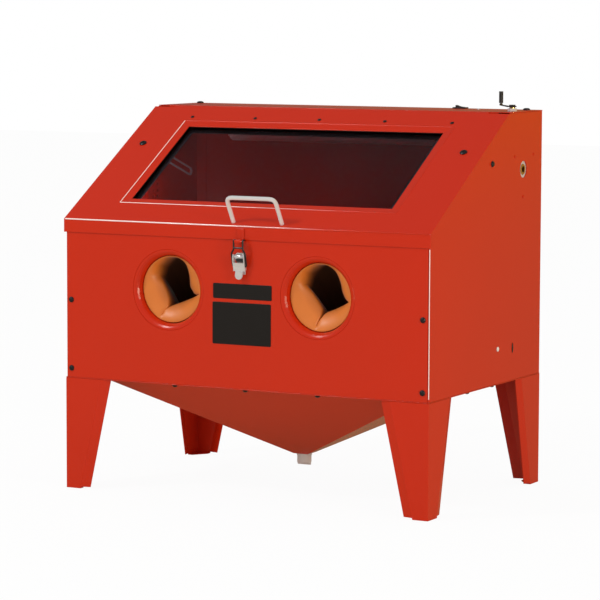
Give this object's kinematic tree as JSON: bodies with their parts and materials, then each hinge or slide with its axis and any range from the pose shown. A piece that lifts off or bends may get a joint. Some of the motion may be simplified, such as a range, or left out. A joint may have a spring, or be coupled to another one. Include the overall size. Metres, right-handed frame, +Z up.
{
  "type": "sandblast cabinet",
  "caption": "Bench sandblast cabinet: folded steel booth on splayed legs, sloping hinged window lid, gloved arm ports in front, media hopper with drain below.",
  "frame": {"origin": "on the floor, under the middle of the whole object, handle and cable gland included", "axes": "+X to the operator's right, the front faces -Y, +Z up"},
  "size_m": [0.701, 0.4916, 0.69],
  "materials": {
    "paint_red": "glossy powder coat",
    "zinc": "bright zinc plate",
    "brass": "turned brass",
    "glass": "clear safety glass over a dark interior",
    "rubber_black": "matt black rubber",
    "glove_tan": "orange tan coated glove",
    "plastic_black": "matt black plastic",
    "plastic_pale": "off-white moulded plastic",
    "lamp_white": "white enamel",
    "lamp_lens": "frosted plastic",
    "cast_aluminium": "cast",
    "ceramic": "unglazed ceramic"
  },
  "bodies": {
    "booth": {"back_panel": "paint_red", "cable_gland": "plastic_black", "drain_spout": "plastic_pale", "front_panel": "paint_red", "glove_clamp_left": "zinc", "glove_clamp_right": "zinc", "glove_left": "glove_tan", "glove_right": "glove_tan", "grate_rail_left": "paint_red", "grate_rail_right": "paint_red", "gun_body": "cast_aluminium", "gun_nozzle": "ceramic", "hinge_leaf_body": "zinc", "hinge_pin": "zinc", "hopper": "paint_red", "inlet_fitting": "brass", "inlet_plate": "zinc", "lamp_housing": "lamp_white", "lamp_lens": "lamp_lens", "lamp_switch_body": "plastic_black", "latch_base": "zinc", "leg_front_left": "paint_red", "leg_front_right": "paint_red", "leg_rear_left": "paint_red", "leg_rear_right": "paint_red", "panel_screw_left_lower": "plastic_black", "panel_screw_left_upper": "plastic_black", "panel_screw_right_lower": "plastic_black", "panel_screw_right_upper": "plastic_black", "pickup_tube": "zinc", "riser_pipe": "brass", "side_panel_left": "paint_red", "side_panel_right": "paint_red", "stay_stud_left": "plastic_black", "stay_stud_right": "plastic_black", "top_panel": "paint_red", "valve_body": "brass", "valve_nut": "zinc", "vent_baffle": "paint_red", "work_grate": "zinc"},
    "lid": {"lid": "paint_red", "window_glass": "glass", "window_seal": "rubber_black", "window_retainer": "zinc", "hinge_leaf_lid": "zinc", "lid_handle": "zinc", "latch_keeper": "paint_red", "stay_bracket_left": "zinc", "stay_bracket_right": "zinc", "lid_seal": "rubber_black"},
    "stay_arm_left": {"stay_arm_left": "zinc"},
    "stay_arm_right": {"stay_arm_right": "zinc"},
    "latch_lever": {"latch_lever": "zinc"},
    "latch_bail": {"latch_bail": "zinc"},
    "drain_cap": {"drain_cap": "plastic_pale"},
    "valve_lever": {"valve_lever": "zinc", "valve_grip": "plastic_black"},
    "lamp_switch_rocker": {"lamp_switch_rocker": "plastic_black"},
    "gun_trigger": {"gun_trigger": "plastic_black"}
  },
  "joints": [
    {"name": "lid_hinge", "type": "hinge", "parent": "booth", "child": "lid", "pos_m": [0, 0.08893, 0.652], "axis": [-1, 0, 0], "range_deg": [0, 60]},
    {"name": "stay_left_swing", "type": "hinge", "parent": "lid", "child": "stay_arm_left", "pos_m": [-0.30125, -0.01624, 0.58334], "axis": [-1, 0, 0], "range_deg": [-6.36, 0]},
    {"name": "stay_right_swing", "type": "hinge", "parent": "lid", "child": "stay_arm_right", "pos_m": [0.30125, -0.01624, 0.58334], "axis": [-1, 0, 0], "range_deg": [-6.36, 0]},
    {"name": "latch_lever_pull", "type": "hinge", "parent": "booth", "child": "latch_lever", "pos_m": [0, -0.23117, 0.418], "axis": [-1, 0, 0], "range_deg": [0, 150]},
    {"name": "latch_bail_swing", "type": "hinge", "parent": "latch_lever", "child": "latch_bail", "pos_m": [0, -0.22967, 0.402], "axis": [-1, 0, 0], "range_deg": [-172, 0]},
    {"name": "drain_cap_turn", "type": "hinge", "parent": "booth", "child": "drain_cap", "pos_m": [0, 0.00433, 0.045], "axis": [0, 0, 1], "range_deg": [0, 720]},
    {"name": "air_valve_turn", "type": "hinge", "parent": "booth", "child": "valve_lever", "pos_m": [0.333, 0.13333, 0.665], "axis": [0, 0, 1], "range_deg": [0, 90]},
    {"name": "lamp_switch_rock", "type": "hinge", "parent": "booth", "child": "lamp_switch_rocker", "pos_m": [0.197, 0.21633, 0.656], "axis": [0, -1, 0], "range_deg": [0, 16]},
    {"name": "gun_trigger_pull", "type": "hinge", "parent": "booth", "child": "gun_trigger", "pos_m": [-0.002, 0.08433, 0.2323], "axis": [0, 0, -1], "range_deg": [0, 12], "stiffness_Nm_per_rad": 0.4}
  ],
  "couplings": [
    {"joint": "stay_left_swing", "follows": "lid_hinge", "ratio": -0.1043},
    {"joint": "stay_right_swing", "follows": "lid_hinge", "ratio": -0.1043},
    {"joint": "latch_bail_swing", "follows": "latch_lever_pull", "ratio": -1.133}
  ]
}
